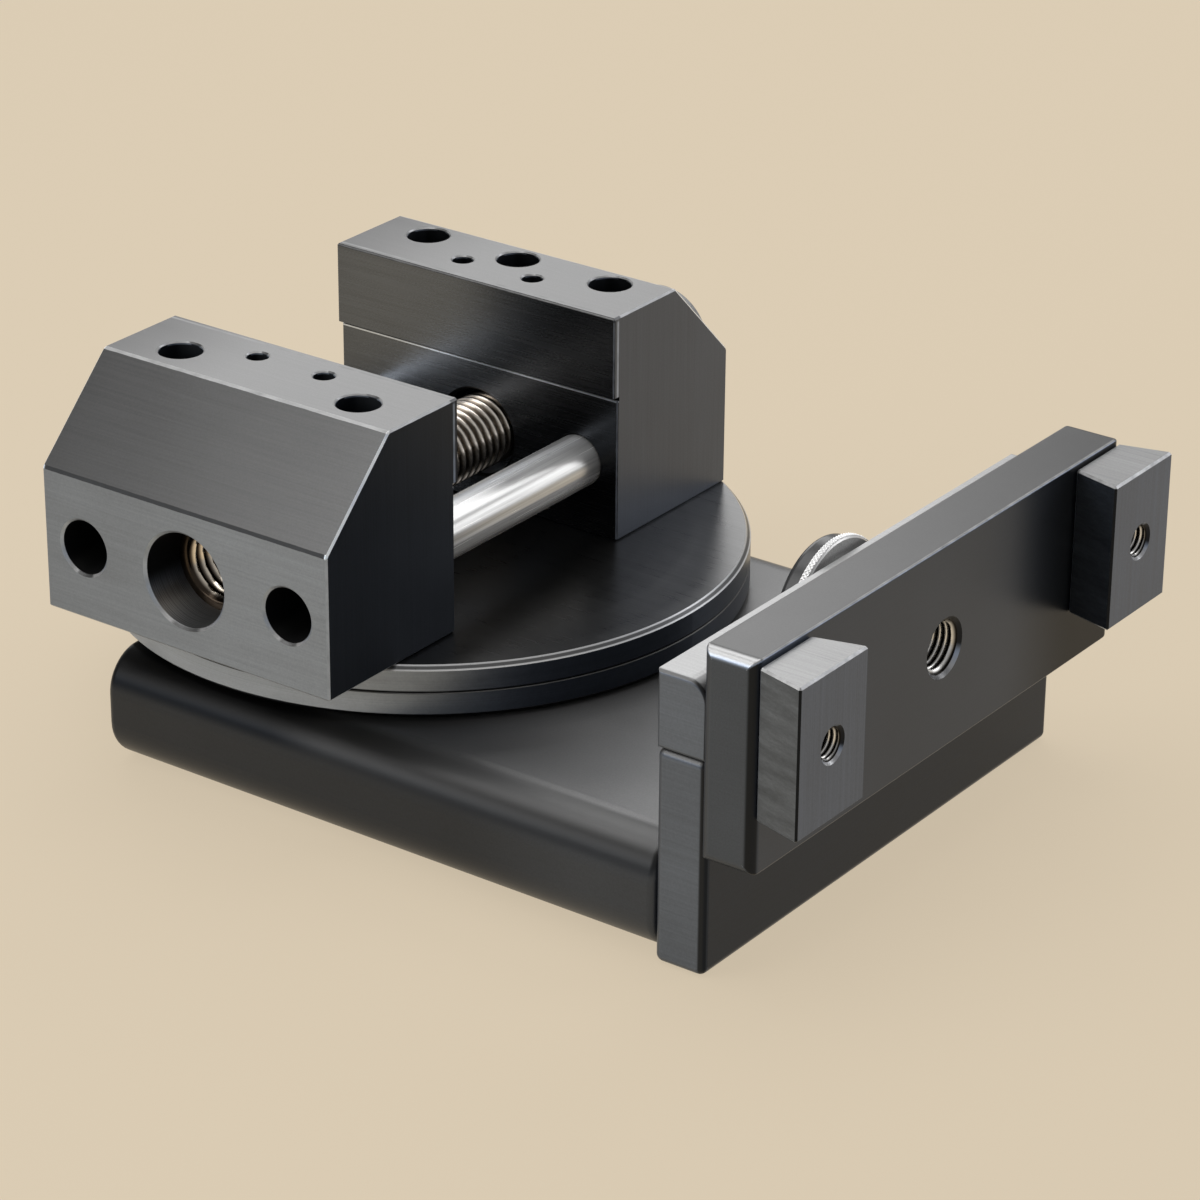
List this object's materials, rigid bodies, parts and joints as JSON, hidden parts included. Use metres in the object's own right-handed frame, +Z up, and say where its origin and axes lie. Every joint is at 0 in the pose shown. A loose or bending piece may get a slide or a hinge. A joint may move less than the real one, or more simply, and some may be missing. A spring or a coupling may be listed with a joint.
{
  "type": "ball vise",
  "caption": "Screw vise with chamfered jaws on a round turntable, over a heavy base with a cross bar and dovetail end blocks.",
  "frame": {"origin": "on the turntable axis, in the plane of the bench under the base", "axes": "+X along the jaws, from the plain end of the base to the cross bar; +Y from the front jaw to the rear jaw; +Z up"},
  "size_m": [0.184, 0.1438, 0.076],
  "materials": {
    "black_steel": "satin black oxide",
    "plate_steel": "brushed, darkened",
    "jaw_steel": "brushed along the jaw",
    "turned_steel": "turned",
    "polished_steel": "polished",
    "screw_steel": "rolled thread, warm tint",
    "bronze": "turned",
    "fastener_steel": "black oxide",
    "grey_steel": "matte with a knurled rim",
    "black_cap": "smooth"
  },
  "bodies": {
    "base": {"base_block": "black_steel", "side_plate": "plate_steel", "upper_plate": "plate_steel", "side_plate_screws": "fastener_steel", "side_plate_dowels": "fastener_steel", "upper_plate_screws": "fastener_steel", "pivot_post": "polished_steel", "thrust_washer": "bronze", "retaining_washer": "grey_steel", "retaining_screw": "fastener_steel"},
    "turntable_assembly": {"turntable": "turned_steel", "pivot_bush": "bronze", "rear_jaw": "jaw_steel", "rear_jaw_screws": "fastener_steel", "left_guide_rod": "polished_steel", "right_guide_rod": "polished_steel", "rod_set_screws": "fastener_steel", "screw_bush": "bronze", "screw_washer": "bronze"},
    "front_jaw_assembly": {"front_jaw": "jaw_steel", "threaded_bush": "bronze", "bush_lock_screw": "fastener_steel"},
    "lead_screw_assembly": {"lead_screw": "screw_steel", "screw_knob": "grey_steel", "screw_knob_pin": "fastener_steel"},
    "cross_bar_assembly": {"cross_bar": "black_steel", "near_end_block": "plate_steel", "far_end_block": "plate_steel", "end_block_screws": "fastener_steel"},
    "clamp_screw_assembly": {"clamp_screw": "grey_steel", "clamp_knob_cap": "black_cap", "clamp_washer": "grey_steel"}
  },
  "joints": [
    {"name": "turntable_spin", "type": "hinge", "parent": "base", "child": "turntable_assembly", "pos_m": [0, 0, 0.032], "axis": [0, 0, 1], "continuous": true},
    {"name": "lead_screw_turn", "type": "hinge", "parent": "turntable_assembly", "child": "lead_screw_assembly", "pos_m": [0, 0.0497, 0.0457], "axis": [0, 1, 0], "range_deg": [-8175, 1805]},
    {"name": "front_jaw_slide", "type": "slide", "parent": "turntable_assembly", "child": "front_jaw_assembly", "axis": [0, 1, 0], "range_m": [-0.01, 0.0454]},
    {"name": "cross_bar_swivel", "type": "hinge", "parent": "base", "child": "cross_bar_assembly", "pos_m": [0.1045, -0.0055, 0.0424], "axis": [1, 0, 0], "range_deg": [-25, 25]},
    {"name": "clamp_screw_turn", "type": "hinge", "parent": "cross_bar_assembly", "child": "clamp_screw_assembly", "pos_m": [0.0935, -0.0055, 0.0424], "axis": [1, 0, 0], "range_deg": [0, 180]}
  ],
  "couplings": [
    {"joint": "lead_screw_turn", "follows": "front_jaw_slide", "rad_per_m": -3141.6}
  ]
}
